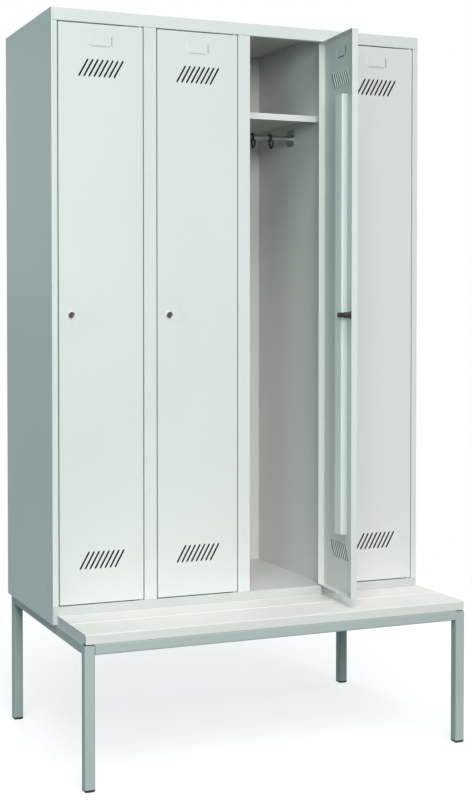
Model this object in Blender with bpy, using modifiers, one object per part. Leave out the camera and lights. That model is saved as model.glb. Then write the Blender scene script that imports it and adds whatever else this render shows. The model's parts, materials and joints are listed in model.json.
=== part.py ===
"""Four-door steel locker on a tube stand that reaches forward as a bench.

Sizes are in metres, +Z is up and the doors face -Y. The origin lies on the floor, under the
middle of the whole object. The cabinet is folded from thin sheet: every panel is an open
surface that is given its wall with Solidify. The third door stands open.
"""
from math import cos, pi, radians, sin

import bmesh
import bpy
from mathutils import Matrix, Vector

# Cabinet
COMPARTMENTS = 4
CABINET_WIDTH = 1.200
CABINET_HEIGHT = 1.770
CABINET_DEPTH = 0.520
SHEET = 0.001
FOLD_RADIUS = 0.0018
FIT = 0.0003
SIDE_POST = 0.018
MIDDLE_POST = 0.039
POST_RETURN = 0.020
TOP_RAIL_FACE = 0.037
BOTTOM_RAIL_FACE = 0.052
RAIL_RETURN = 0.022
REAR_FLANGE = 0.015
LINK_HOLE_RADIUS = 0.0035
LINK_HOLE_SETBACK = 0.053
LINK_HOLE_FROM_TOP = 0.048
LINK_HOLE_FROM_BOTTOM = 0.106

# Hat shelf, clothes rail and sliding hooks
HAT_SPACE = 0.258
SHELF_LIP = 0.019
SHELF_SETBACK = 0.055
RAIL_RADIUS = 0.009
RAIL_WALL = 0.0015
RAIL_BELOW_SHELF = 0.047
RAIL_DEPTH_SHARE = 0.51
RAIL_PLATE_WIDTH = 0.056
RAIL_PLATE_DROP = 0.026
RAIL_PLATE_SHEET = 0.0015
RAIL_PLATE_CORNER = 0.012
HOOK_CLEARANCE = 0.0004
HOOK_RING_WALL = 0.0035
HOOK_WIDTH = 0.009
HOOK_WIRE_RADIUS = 0.0032
HOOK_STEM = 0.010
HOOK_BEND_RADIUS = 0.0125
HOOK_TIP_RISE = 0.012
HOOK_PLACE_SHARES = (0.535, 0.745)

# Doors and their hinge pins
DOOR_GAP = 0.003
DOOR_DEPTH = 0.020
DOOR_OPEN_ANGLE = 85.5
OPEN_DOOR = 3
PIVOT_INSET = 0.007
PIVOT_DEPTH = 0.006
PIN_RADIUS = 0.0028
PIN_CLEARANCE = 0.0005
PIN_TIP = 0.004
WASHER_RADIUS = 0.0045
WASHER_RISE = 0.0022
STRAP_LENGTH = 0.058
STRAP_WIDTH = 0.012
STRAP_RISE = 0.0012
RIVET_RADIUS = 0.003
RIVET_FROM_EDGE = 0.051

# Air slots and card holder pressed into each door
SLOT_COUNT = 8
SLOT_PITCH = 0.0152
SLOT_HEIGHT = 0.051
SLOT_LEAN = 0.0285
SLOT_WIDTH = 0.0052
SLOTS_FROM_END = 0.126
CARD_WIDTH = 0.075
CARD_HEIGHT = 0.027
CARD_FROM_TOP = 0.033
CARD_TAB_WIDTH = 0.005
CARD_TAB_RISE = 0.0020
CARD_TAB_SHEET = 0.0009

# Door stiffener
STIFFENER_WIDTH = 0.050
STIFFENER_DEPTH = 0.0195
STIFFENER_FROM_END = 0.180
STIFFENER_FROM_EDGE = 0.075

# Cam lock
LOCK_FROM_EDGE = 0.037
BARREL_RADIUS = 0.009
BARREL_LENGTH = 0.027
BEZEL_RADIUS = 0.0115
BEZEL_RISE = 0.0028
BEZEL_CHAMFER = 0.0012
NUT_RADIUS = 0.0135
NUT_LENGTH = 0.005
PLUG_RADIUS = 0.0060
PLUG_HEAD_RADIUS = 0.0078
PLUG_HEAD_LENGTH = 0.0015
PLUG_CLEARANCE = 0.0003
KEY_SLOT_LENGTH = 0.0080
KEY_SLOT_WIDTH = 0.0018
KEY_SLOT_DEPTH = 0.006
CAM_LENGTH = 0.048
CAM_WIDTH = 0.015
CAM_SHEET = 0.003
CAM_SCREW_RADIUS = 0.005
CAM_SCREW_RISE = 0.0025

# Stand and bench
STAND_HEIGHT = 0.405
STAND_SHIFT = 0.011
TUBE = 0.030
TUBE_WALL = 0.002
TUBE_CORNER = 0.003
LEG_TOP_DROP = 0.003
FOOT_RISE = 0.008
FOOT_ROUNDING = 0.0055
FOOT_STEM = 0.018
FOOT_STEM_WALL = 0.002
FOOT_STEM_CLEARANCE = 0.0005
BENCH_REACH = 0.270
BENCH_RISE = 0.027
BENCH_SHEET = 0.0015
BENCH_FOLD_RADIUS = 0.003
BENCH_END_INSET = 0.003
BENCH_CORNER_SLIT = 0.002
SEAM_DEPTH_SHARE = 0.8
BEAD_FROM_CABINET = 0.122
BEAD_WIDTH = 0.009
BEAD_DEPTH = 0.003
BENCH_RIB_WIDTH = 0.050
BENCH_RIB_SETBACK = 0.060

# Facets of round shapes, the angle that shades sharp, and the overrun of every cutter
ROUND_STEPS = 18
SMALL_STEPS = 10
END_STEPS = 3
FOLD_STEPS = 2
NUT_SIDES = 6
SHARP_ANGLE = 40
SLIGHT_FOLD = 30
SHARP_FOLD = 75
OVERRUN = 0.004

# Places worked out from the sizes
STAND_WIDTH = CABINET_WIDTH
OVERALL_WIDTH = CABINET_WIDTH + STAND_SHIFT
OVERALL_DEPTH = CABINET_DEPTH + BENCH_REACH
CABINET_X = -OVERALL_WIDTH / 2
STAND_X = CABINET_X + STAND_SHIFT
FRONT_Y = BENCH_REACH - OVERALL_DEPTH / 2
BACK_Y = FRONT_Y + CABINET_DEPTH
BENCH_Y = FRONT_Y - BENCH_REACH
CABINET_Z = STAND_HEIGHT + FIT
OPENING_WIDTH = ((CABINET_WIDTH - 2 * SIDE_POST - (COMPARTMENTS - 1) * MIDDLE_POST)
                 / COMPARTMENTS)
DOOR_WIDTH = OPENING_WIDTH - 2 * DOOR_GAP
DOOR_HEIGHT = CABINET_HEIGHT - TOP_RAIL_FACE - BOTTOM_RAIL_FACE - 2 * DOOR_GAP
DOOR_Z = CABINET_Z + BOTTOM_RAIL_FACE + DOOR_GAP
SHEET_BACK_Y = BACK_Y - SHEET - FIT
SHELF_BACK_Y = SHEET_BACK_Y - SHEET - FIT
SHELF_TOP = CABINET_Z + CABINET_HEIGHT - HAT_SPACE
RAIL_Z = SHELF_TOP - RAIL_BELOW_SHELF
RAIL_Y = FRONT_Y + RAIL_DEPTH_SHARE * CABINET_DEPTH
LOCK_X = PIVOT_INSET - DOOR_WIDTH + LOCK_FROM_EDGE
LOCK_Z = DOOR_HEIGHT / 2

# Finishes: colour, roughness, metallic
FINISHES = {
    "cabinet_paint": ((0.72, 0.77, 0.74), 0.42, 0.0),
    "stand_paint": ((0.45, 0.53, 0.51), 0.42, 0.0),
    "bench_paint": ((0.78, 0.79, 0.76), 0.45, 0.0),
    "black_plastic": ((0.02, 0.02, 0.022), 0.5, 0.0),
    "bright_chrome": ((0.60, 0.61, 0.62), 0.15, 1.0),
    "zinc_steel": ((0.50, 0.53, 0.52), 0.35, 1.0),
}


def opening_left(number):
    """The left edge of a door opening, counted from one."""
    return CABINET_X + SIDE_POST + (number - 1) * (OPENING_WIDTH + MIDDLE_POST)


def inner_walls(number):
    """The faces of the two walls beside a compartment: each partition's sheet is flush
    with the hinge side of the compartment on its left."""
    if number == 1:
        left = CABINET_X + SHEET
    else:
        left = opening_left(number) - MIDDLE_POST + SHEET
    if number == COMPARTMENTS:
        right = CABINET_X + CABINET_WIDTH - SHEET
    else:
        right = opening_left(number) + OPENING_WIDTH
    return left, right


def clear_scene():
    for thing in list(bpy.data.objects):
        bpy.data.objects.remove(thing, do_unlink=True)


def new_collection(name):
    made = bpy.data.collections.new(name)
    bpy.context.scene.collection.children.link(made)
    return made


def new_material(name):
    colour, roughness, metallic = FINISHES[name]
    made = bpy.data.materials.new(name)
    made.use_nodes = True
    shader = made.node_tree.nodes["Principled BSDF"]
    shader.inputs["Base Color"].default_value = (*colour, 1)
    shader.inputs["Roughness"].default_value = roughness
    shader.inputs["Metallic"].default_value = metallic
    made.diffuse_color = (*colour, 1)
    return made


def put(name, mesh, finish, parent=None, at=(0, 0, 0)):
    """Adds one named sub-part, with a material of its own."""
    mesh.shade_smooth()
    mesh.set_sharp_from_angle(angle=radians(SHARP_ANGLE))
    piece = bpy.data.objects.new(name, mesh)
    piece.location = at
    piece.parent = parent
    PARTS.objects.link(piece)
    made = new_material(finish)
    if not mesh.materials:
        mesh.materials.append(made)
    piece.material_slots[0].link = "OBJECT"
    piece.material_slots[0].material = made


def put_empty(name, at, turn=0, parent=None):
    empty = bpy.data.objects.new(name, None)
    empty.location = at
    empty.rotation_euler = (0, 0, turn)
    empty.parent = parent
    PARTS.objects.link(empty)
    return empty


def working_object(data):
    """A cutter, or a shape about to be finished, which never shows."""
    thing = bpy.data.objects.new("working_shape", data)
    thing.hide_render = True
    thing.display_type = "WIRE"
    CUTTERS.objects.link(thing)
    return thing


def finished(data, modifiers=()):
    """The mesh of a shape, with its modifiers worked in."""
    thing = working_object(data)
    for kind, settings in modifiers:
        modifier = thing.modifiers.new(kind.title(), kind)
        for key, value in settings.items():
            setattr(modifier, key, value)
    graph = bpy.context.evaluated_depsgraph_get()
    mesh = bpy.data.meshes.new_from_object(thing.evaluated_get(graph))
    bpy.data.objects.remove(thing, do_unlink=True)
    return mesh


def boolean(mesh, operation, others):
    result = finished(mesh, [("BOOLEAN", {"operation": operation,
                                          "object": working_object(other)})
                             for other in others])
    bm = bmesh.new()
    bm.from_mesh(result)
    bmesh.ops.dissolve_degenerate(bm, edges=bm.edges[:], dist=FIT / 10)
    return to_mesh(bm)


def joined(mesh, others):
    """One body: the mesh united with each of the others."""
    return boolean(mesh, "UNION", others)


def cut(mesh, cutters):
    """The mesh less the cutters, whose shapes don't touch one another."""
    return boolean(mesh, "DIFFERENCE", [together(cutters)])


def to_mesh(bm):
    mesh = bpy.data.meshes.new("shape")
    bm.to_mesh(mesh)
    bm.free()
    return mesh


def block(low, high):
    """A box between two corners."""
    bm = bmesh.new()
    low, high = Vector(low), Vector(high)
    bmesh.ops.create_cube(bm, size=1, matrix=Matrix.Translation((low + high) / 2)
                          @ Matrix.Diagonal((*(high - low), 1)))
    return to_mesh(bm)


def cylinder(radius, centre, axis, start, end, steps=ROUND_STEPS):
    """A closed cylinder along X, Y or Z, from start to end on that axis."""
    turn = {"X": Matrix.Rotation(pi / 2, 4, "Y"), "Y": Matrix.Rotation(-pi / 2, 4, "X"),
            "Z": Matrix.Identity(4)}[axis]
    place = Vector(centre)
    place["XYZ".index(axis)] = (start + end) / 2
    bm = bmesh.new()
    bmesh.ops.create_cone(bm, cap_ends=True, segments=steps, radius1=radius, radius2=radius,
                          depth=end - start, matrix=Matrix.Translation(place) @ turn)
    return to_mesh(bm)


def together(meshes):
    """Several separate shapes in one mesh."""
    bm = bmesh.new()
    for mesh in meshes:
        bm.from_mesh(mesh)
    return to_mesh(bm)


def fold_modifiers(thickness, radius, least_fold=SLIGHT_FOLD):
    """Rounded folds first, then the wall, which grows inwards from the drawn surface."""
    return [
        ("BEVEL", {"width": radius, "segments": FOLD_STEPS, "limit_method": "ANGLE",
                   "angle_limit": radians(least_fold), "use_clamp_overlap": False}),
        ("SOLIDIFY", {"thickness": thickness, "offset": -1, "use_even_offset": True}),
    ]


def swept_surface(path, start, end, along):
    """An open surface: a bent line carried straight along X or Z.

    A path along Z is drawn in X and Y, and one along X in Y and Z. The outside of the
    surface is on the right of the path, seen against the axis.
    """
    bm = bmesh.new()
    if along == "Z":
        line = [bm.verts.new((a, b, start)) for a, b in path]
        step = Vector((0, 0, end - start))
    else:
        line = [bm.verts.new((start, a, b)) for a, b in path]
        step = Vector((end - start, 0, 0))
    edges = [bm.edges.new(pair) for pair in zip(line, line[1:])]
    swept = bmesh.ops.extrude_edge_only(bm, edges=edges)["geom"]
    moved = [item for item in swept if isinstance(item, bmesh.types.BMVert)]
    bmesh.ops.translate(bm, vec=step, verts=moved)
    bm.normal_update()
    outside = (line[1].co - line[0].co).cross(step)
    if line[0].link_faces[0].normal.dot(outside) < 0:
        bmesh.ops.reverse_faces(bm, faces=bm.faces[:])
    return to_mesh(bm)


def folded_sheet(path, start, end, along, thickness=SHEET, radius=FOLD_RADIUS):
    return finished(swept_surface(path, start, end, along), fold_modifiers(thickness, radius))


def folded_box(low, high, open_sides, thickness=SHEET, radius=FOLD_RADIUS):
    """A box of folded sheet, without the sides that face along the given directions."""
    bm = bmesh.new()
    bm.from_mesh(block(low, high))
    bm.normal_update()
    lids = [face for face in bm.faces
            if any(face.normal.dot(Vector(side)) > cos(pi / 4) for side in open_sides)]
    bmesh.ops.delete(bm, geom=lids, context="FACES_ONLY")
    return finished(to_mesh(bm), fold_modifiers(thickness, radius))


def curve_mesh(curve):
    """The mesh of a curve, its caps welded on."""
    bm = bmesh.new()
    bm.from_mesh(finished(curve))
    bmesh.ops.remove_doubles(bm, verts=bm.verts, dist=FIT / 10)
    bmesh.ops.recalc_face_normals(bm, faces=bm.faces)
    return bm


def poly_line(curve, points):
    line = curve.splines.new("POLY")
    line.points.add(len(points) - 1)
    for point, place in zip(line.points, points):
        point.co = (*place, 1)
    return line


def flat_shape(outline, across, low, high):
    """A filled outline with a thickness along X or Y, drawn in the other of them and Z."""
    curve = bpy.data.curves.new("outline", "CURVE")
    curve.dimensions = "2D"
    curve.fill_mode = "BOTH"
    curve.extrude = (high - low) / 2
    poly_line(curve, [(a, b, 0) for a, b in outline]).use_cyclic_u = True
    bm = curve_mesh(curve)
    middle = (low + high) / 2
    if across == "X":
        place = Matrix.Translation((middle, 0, 0)) @ Matrix.Rotation(pi / 2, 4, "Z")
    else:
        place = Matrix.Translation((0, middle, 0))
    bmesh.ops.transform(bm, verts=bm.verts, matrix=place @ Matrix.Rotation(pi / 2, 4, "X"))
    return to_mesh(bm)


def round_ended(start, end, width, steps):
    """The outline of a slot: two half circles about its ends, joined by straight sides."""
    start, end = Vector(start), Vector(end)
    run = (end - start).normalized()
    side = Vector((-run.y, run.x))
    outline = []
    for centre, sign in ((end, 1), (start, -1)):
        for step in range(steps + 1):
            angle = pi / 2 - pi * step / steps
            outline.append(centre + width / 2 * sign * (run * cos(angle) + side * sin(angle)))
    return [tuple(point) for point in outline]


def turned(profile):
    """A ring about Y: a closed profile of radius and Y, screwed round the axis.

    The profile runs down its outer side first, which here means towards +Y.
    """
    bm = bmesh.new()
    line = [bm.verts.new((radius, 0, -y)) for radius, y in profile]
    for pair in zip(line, line[1:] + line[:1]):
        bm.edges.new(pair)
    ring = finished(to_mesh(bm), [("SCREW", {"steps": ROUND_STEPS, "render_steps": ROUND_STEPS,
                                             "use_merge_vertices": True,
                                             "merge_threshold": FIT / 10})])
    ring.transform(Matrix.Rotation(pi / 2, 4, "X"))
    return ring


def square_tube(low, high, along):
    """A square tube with rounded corners and open ends."""
    return folded_box(low, high, (along, [-part for part in along]), TUBE_WALL, TUBE_CORNER)


def side_path(mirrored):
    """Plan of a side panel: rear flange, side, front post and its return."""
    left, right = CABINET_X, CABINET_X + CABINET_WIDTH
    path = [(left + REAR_FLANGE, SHEET_BACK_Y), (left, SHEET_BACK_Y), (left, FRONT_Y),
            (left + SIDE_POST, FRONT_Y), (left + SIDE_POST, FRONT_Y + POST_RETURN)]
    if mirrored:
        path = [(left + right - x, y) for x, y in reversed(path)]
    return path


def build_side(name, mirrored):
    top = CABINET_Z + CABINET_HEIGHT
    mesh = folded_sheet(side_path(mirrored), CABINET_Z, top, "Z")
    sheet_x = CABINET_X + SHEET if not mirrored else CABINET_X + CABINET_WIDTH - SHEET
    inwards = -1 if mirrored else 1
    near, far = sorted((sheet_x + inwards * FIT / 2, sheet_x + inwards * (SIDE_POST + OVERRUN)))
    post_top = top - TOP_RAIL_FACE - FIT
    post_bottom = CABINET_Z + BOTTOM_RAIL_FACE + FIT
    y_low, y_high = FRONT_Y - OVERRUN, BACK_Y + OVERRUN
    notches = [block((near, y_low, post_top), (far, y_high, top + OVERRUN)),
               block((near, y_low, CABINET_Z - OVERRUN), (far, y_high, post_bottom))]
    holes = [cylinder(LINK_HOLE_RADIUS, (0, FRONT_Y + LINK_HOLE_SETBACK, z), "X",
                      sheet_x - OVERRUN, sheet_x + OVERRUN, SMALL_STEPS)
             for z in (top - LINK_HOLE_FROM_TOP, CABINET_Z + LINK_HOLE_FROM_BOTTOM)]
    put(name, cut(mesh, notches + holes), "cabinet_paint")


def pivot_place(number):
    """The hinge axis of a door, in X and Y."""
    edge = opening_left(number) + OPENING_WIDTH - DOOR_GAP
    return edge - PIVOT_INSET, FRONT_Y + PIVOT_DEPTH


def pivot_holes(low, high):
    return [cylinder(PIN_RADIUS + PIN_CLEARANCE, (*pivot_place(number), 0), "Z", low, high,
                     SMALL_STEPS)
            for number in range(1, COMPARTMENTS + 1)]


def build_roof_and_floor():
    left, right = CABINET_X + SHEET + FIT, CABINET_X + CABINET_WIDTH - SHEET - FIT
    for name, top, face in (
            ("roof_panel", CABINET_Z + CABINET_HEIGHT, TOP_RAIL_FACE),
            ("floor_panel", CABINET_Z + BOTTOM_RAIL_FACE, BOTTOM_RAIL_FACE)):
        path = [(SHEET_BACK_Y, top), (FRONT_Y, top), (FRONT_Y, top - face),
                (FRONT_Y + RAIL_RETURN, top - face)]
        mesh = folded_sheet(path, left, right, "X")
        pierced = top - face if name == "roof_panel" else top
        holes = pivot_holes(pierced - OVERRUN, pierced + OVERRUN)
        put(name, cut(mesh, holes), "cabinet_paint")


def build_back():
    put("back_panel", block((CABINET_X, BACK_Y - SHEET, CABINET_Z),
                            (CABINET_X + CABINET_WIDTH, BACK_Y, CABINET_Z + CABINET_HEIGHT)),
        "cabinet_paint")


def build_partitions():
    """Each partition is one sheet: the wall, the front post and the post's return, which the
    lock's cam catches. Above the post the wall reaches forward over the top rail's return, so
    that nothing passes from one compartment to the next behind the rail."""
    low = CABINET_Z + BOTTOM_RAIL_FACE + FIT
    high = CABINET_Z + CABINET_HEIGHT - SHEET - FIT
    post_top = CABINET_Z + CABINET_HEIGHT - TOP_RAIL_FACE - FIT
    for number in range(1, COMPARTMENTS):
        x = opening_left(number) + OPENING_WIDTH
        path = [(x, SHEET_BACK_Y), (x, FRONT_Y), (x + MIDDLE_POST, FRONT_Y),
                (x + MIDDLE_POST, FRONT_Y + POST_RETURN)]
        near, far = x - OVERRUN, x + MIDDLE_POST + OVERRUN
        slit_top = post_top + SHEET + 2 * FIT
        return_slit = block((near, FRONT_Y - OVERRUN, post_top),
                            (far, FRONT_Y + RAIL_RETURN + FIT, slit_top))
        over_face = block((near, FRONT_Y - OVERRUN, slit_top - FIT),
                          (far, FRONT_Y + SHEET + FOLD_RADIUS, high + OVERRUN))
        over_post = block((x + SHEET + FIT, FRONT_Y - OVERRUN, slit_top - FIT),
                          (far, FRONT_Y + POST_RETURN + OVERRUN, high + OVERRUN))
        sheet = folded_sheet(path, low, high, "Z")
        for notch in (return_slit, over_face, over_post):
            sheet = cut(sheet, [notch])
        put(f"partition_{number}", sheet, "cabinet_paint")


def build_shelves():
    for number in range(1, COMPARTMENTS + 1):
        left, right = inner_walls(number)
        shelf = folded_box((left + FIT, FRONT_Y + SHELF_SETBACK, SHELF_TOP - SHELF_LIP),
                           (right - FIT, SHELF_BACK_Y, SHELF_TOP), [(0, 0, -1)])
        put(f"hat_shelf_{number}", shelf, "cabinet_paint")


def build_clothes_rails():
    """A round tube between two end plates that hang on the walls under the shelf."""
    plate_top = SHELF_TOP - SHELF_LIP - FIT
    plate_bottom = RAIL_Z - RAIL_PLATE_DROP
    half = RAIL_PLATE_WIDTH / 2
    for number in range(1, COMPARTMENTS + 1):
        left, right = inner_walls(number)
        left, right = left + FIT, right - FIT
        tube = cylinder(RAIL_RADIUS, (0, RAIL_Y, RAIL_Z), "X", left, right)
        bore = cylinder(RAIL_RADIUS - RAIL_WALL, (0, RAIL_Y, RAIL_Z), "X",
                        left - OVERRUN, right + OVERRUN)
        plates = [rounded_plate(x, half, plate_bottom, plate_top)
                  for x in (left, right - RAIL_PLATE_SHEET)]
        put(f"clothes_rail_{number}", cut(joined(tube, plates), [bore]), "zinc_steel")


def rounded_plate(x, half, bottom, top):
    """An end plate in the Y-Z plane whose lower corners are rounded."""
    bm = bmesh.new()
    bm.from_mesh(block((x, RAIL_Y - half, bottom), (x + RAIL_PLATE_SHEET, RAIL_Y + half, top)))
    lower = [edge for edge in bm.edges
             if all(vert.co.z < (bottom + top) / 2 for vert in edge.verts)
             and abs(edge.verts[0].co.y - edge.verts[1].co.y) < FIT]
    bmesh.ops.bevel(bm, geom=lower, offset=RAIL_PLATE_CORNER, segments=END_STEPS,
                    affect="EDGES", profile=1 / 2)
    return to_mesh(bm)


def hook_mesh():
    """A sliding hook about the rail's axis: an eye round the rail, a stem and an open bend."""
    inner = RAIL_RADIUS + HOOK_CLEARANCE
    outer = inner + HOOK_RING_WALL
    half = HOOK_WIDTH / 2
    eye = turned([(outer, -half), (outer, half), (inner, half), (inner, -half)])
    eye.transform(Matrix.Rotation(pi / 2, 4, "Z"))
    bend_z = -outer - HOOK_STEM
    route = [(0, 0, -inner - HOOK_RING_WALL / 2), (0, 0, bend_z)]
    for step in range(1, SMALL_STEPS + 1):
        angle = pi * step / SMALL_STEPS
        route.append((0, HOOK_BEND_RADIUS * (cos(angle) - 1),
                      bend_z - HOOK_BEND_RADIUS * sin(angle)))
    route.append((0, -2 * HOOK_BEND_RADIUS, bend_z + HOOK_TIP_RISE))
    curve = bpy.data.curves.new("hook_route", "CURVE")
    curve.dimensions = "3D"
    curve.bevel_depth = HOOK_WIRE_RADIUS
    curve.bevel_resolution = 1
    curve.use_fill_caps = True
    poly_line(curve, route)
    return joined(eye, [to_mesh(curve_mesh(curve))])


def build_hooks():
    mesh = hook_mesh()
    for number in range(1, COMPARTMENTS + 1):
        left, right = inner_walls(number)
        for letter, share in zip("ab", HOOK_PLACE_SHARES):
            place = (left + share * (right - left), RAIL_Y, RAIL_Z)
            put(f"sliding_hook_{number}{letter}", mesh, "black_plastic", at=place)


def slot_cutters():
    """The two groups of leaning air slots, near the top and the bottom of a door."""
    middle_x = PIVOT_INSET - DOOR_WIDTH / 2
    rise = Vector((SLOT_LEAN, SLOT_HEIGHT))
    short = rise * (1 - SLOT_WIDTH / rise.length) / 2
    slots = []
    for middle_z in (SLOTS_FROM_END, DOOR_HEIGHT - SLOTS_FROM_END):
        for count in range(SLOT_COUNT):
            centre = Vector((middle_x + (count - (SLOT_COUNT - 1) / 2) * SLOT_PITCH, middle_z))
            outline = round_ended(centre - short, centre + short, SLOT_WIDTH, END_STEPS)
            slots.append(flat_shape(outline, "Y", -PIVOT_DEPTH - OVERRUN, -PIVOT_DEPTH + OVERRUN))
    return slots


def card_holder():
    """The pressed tabs of the card holder, and the openings behind them.

    A card slides in from the top. Each tab slopes out of the door from its root, which runs
    into the skin, and is free at its ends.
    """
    front = -PIVOT_DEPTH
    proud = front - CARD_TAB_RISE
    left = PIVOT_INSET - DOOR_WIDTH / 2 - CARD_WIDTH / 2
    right = left + CARD_WIDTH
    top = DOOR_HEIGHT - CARD_FROM_TOP
    bottom = top - CARD_HEIGHT
    foot = bottom - CARD_TAB_WIDTH
    foot_left, foot_right = left + 2 * CARD_TAB_WIDTH, right - 2 * CARD_TAB_WIDTH
    root = front + FIT
    sides = [[(left - SHEET, root), (left + CARD_TAB_WIDTH, proud)],
             [(right - CARD_TAB_WIDTH, proud), (right + SHEET, root)]]
    tabs = [folded_sheet(path, bottom + FIT, top - FIT, "Z", CARD_TAB_SHEET) for path in sides]
    tabs.append(folded_sheet([(proud, bottom), (root, foot - SHEET)], foot_left + FIT,
                             foot_right - FIT, "X", CARD_TAB_SHEET))
    openings = [block((x, front - OVERRUN, bottom), (x + CARD_TAB_WIDTH, front + OVERRUN, top))
                for x in (left, right - CARD_TAB_WIDTH)]
    openings.append(block((foot_left, front - OVERRUN, foot), (foot_right, front + OVERRUN,
                                                               bottom)))
    return tabs, openings


def hinge_pieces():
    """Pins, washers and the riveted strap at the ends of a door, on its hinge axis."""
    wall = SHEET / 2
    top, rail = DOOR_HEIGHT, DOOR_GAP + SHEET + PIN_TIP
    strap_y = -PIVOT_DEPTH + (DOOR_DEPTH - STRAP_WIDTH) / 2
    strap_x = PIVOT_INSET - STRAP_LENGTH
    rivet = (PIVOT_INSET - RIVET_FROM_EDGE, strap_y + STRAP_WIDTH / 2, 0)
    return [
        cylinder(PIN_RADIUS, (0, 0, 0), "Z", top - wall, top + rail, SMALL_STEPS),
        cylinder(PIN_RADIUS, (0, 0, 0), "Z", -rail, wall, SMALL_STEPS),
        cylinder(WASHER_RADIUS, (0, 0, 0), "Z", top - wall, top + WASHER_RISE, SMALL_STEPS),
        cylinder(WASHER_RADIUS, (0, 0, 0), "Z", -WASHER_RISE, wall, SMALL_STEPS),
        block((strap_x, strap_y, top - wall),
              (PIVOT_INSET - FOLD_RADIUS, strap_y + STRAP_WIDTH, top + STRAP_RISE)),
        cylinder(RIVET_RADIUS, rivet, "Z", top - wall, top + WASHER_RISE, SMALL_STEPS),
    ]


def door_mesh():
    """A door about its hinge axis: a folded tray with air slots, card tabs and pins."""
    low = (PIVOT_INSET - DOOR_WIDTH, -PIVOT_DEPTH, 0)
    high = (PIVOT_INSET, DOOR_DEPTH - PIVOT_DEPTH, DOOR_HEIGHT)
    tabs, openings = card_holder()
    lock_hole = cylinder(BARREL_RADIUS + FIT, (LOCK_X, 0, LOCK_Z), "Y",
                         -PIVOT_DEPTH - OVERRUN, -PIVOT_DEPTH + OVERRUN)
    tray = cut(folded_box(low, high, [(0, 1, 0)]), slot_cutters() + openings + [lock_hole])
    return joined(tray, tabs + hinge_pieces())


def stiffener_mesh():
    """A channel behind the door's skin, between the lock and the middle of the door."""
    near = PIVOT_INSET - DOOR_WIDTH + STIFFENER_FROM_EDGE
    far = near + STIFFENER_WIDTH
    skin = -PIVOT_DEPTH + SHEET + FIT
    deep = skin + STIFFENER_DEPTH
    path = [(far, skin), (far, deep), (near, deep), (near, skin)]
    return folded_sheet(path, STIFFENER_FROM_END, DOOR_HEIGHT - STIFFENER_FROM_END, "Z")


def lock_body_mesh():
    """Bezel, barrel and nut about the lock's axis, with Y = 0 on the door's front face."""
    bore = PLUG_RADIUS + PLUG_CLEARANCE
    head = PLUG_HEAD_RADIUS + PLUG_CLEARANCE
    seat = PLUG_HEAD_LENGTH + PLUG_CLEARANCE - BEZEL_RISE
    profile = [
        (BEZEL_RADIUS - BEZEL_CHAMFER, -BEZEL_RISE),
        (BEZEL_RADIUS, -BEZEL_RISE + BEZEL_CHAMFER),
        (BEZEL_RADIUS, -FIT),
        (BARREL_RADIUS, -FIT),
        (BARREL_RADIUS, BARREL_LENGTH),
        (bore, BARREL_LENGTH),
        (bore, seat),
        (head, seat),
        (head, -BEZEL_RISE),
    ]
    nut_start = SHEET + FIT
    nut = cylinder(NUT_RADIUS, (0, 0, 0), "Y", nut_start, nut_start + NUT_LENGTH, NUT_SIDES)
    inside = cylinder((BARREL_RADIUS + bore) / 2, (0, 0, 0), "Y", nut_start - OVERRUN,
                      nut_start + NUT_LENGTH + OVERRUN)
    return joined(turned(profile), [cut(nut, [inside])])


def lock_plug_mesh():
    """The plug with its key slot, the cam on its end and the screw that holds the cam."""
    head_face = -BEZEL_RISE + PLUG_CLEARANCE
    head_back = head_face + PLUG_HEAD_LENGTH
    cam_start = BARREL_LENGTH + FIT
    plug = cylinder(PLUG_RADIUS, (0, 0, 0), "Y", head_back - FIT, cam_start + CAM_SHEET / 2)
    head = cylinder(PLUG_HEAD_RADIUS, (0, 0, 0), "Y", head_face, head_back)
    tip = CAM_LENGTH - CAM_WIDTH / 2
    outline = round_ended((0, 0), (tip, 0), CAM_WIDTH, 2 * END_STEPS)
    cam = flat_shape(outline, "Y", cam_start, cam_start + CAM_SHEET)
    screw = cylinder(CAM_SCREW_RADIUS, (0, 0, 0), "Y", cam_start + CAM_SHEET / 2,
                     cam_start + CAM_SHEET + CAM_SCREW_RISE, SMALL_STEPS)
    key_slot = block((-KEY_SLOT_WIDTH / 2, head_face - OVERRUN, -KEY_SLOT_LENGTH / 2),
                     (KEY_SLOT_WIDTH / 2, head_face + KEY_SLOT_DEPTH, KEY_SLOT_LENGTH / 2))
    return cut(joined(plug, [head, cam, screw]), [key_slot])


def build_doors():
    """Four doors on their hinge axes. What a door carries is parented to its hinge."""
    door, stiffener = door_mesh(), stiffener_mesh()
    lock_body, lock_plug = lock_body_mesh(), lock_plug_mesh()
    for number in range(1, COMPARTMENTS + 1):
        turn = radians(DOOR_OPEN_ANGLE) if number == OPEN_DOOR else 0
        hinge = put_empty(f"hinge_axis_{number}", (*pivot_place(number), DOOR_Z), turn)
        axis = put_empty(f"lock_axis_{number}", (LOCK_X, -PIVOT_DEPTH, LOCK_Z), parent=hinge)
        put(f"door_{number}", door, "cabinet_paint", hinge)
        put(f"door_stiffener_{number}", stiffener, "cabinet_paint", hinge)
        put(f"lock_body_{number}", lock_body, "bright_chrome", axis)
        put(f"lock_plug_{number}", lock_plug, "zinc_steel", axis)


def leg_corners():
    """The name of each leg with its lowest X and Y."""
    right = STAND_X + STAND_WIDTH - TUBE
    back = BACK_Y - TUBE
    return (("front_left", STAND_X, BENCH_Y), ("front_right", right, BENCH_Y),
            ("back_left", STAND_X, back), ("back_right", right, back))


def build_legs():
    for name, x, y in leg_corners():
        leg = square_tube((x, y, FOOT_RISE + FIT),
                          (x + TUBE, y + TUBE, STAND_HEIGHT - LEG_TOP_DROP), (0, 0, 1))
        put(f"leg_{name}", leg, "stand_paint")
        put(f"foot_{name}", foot_mesh(x, y), "black_plastic")


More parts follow.
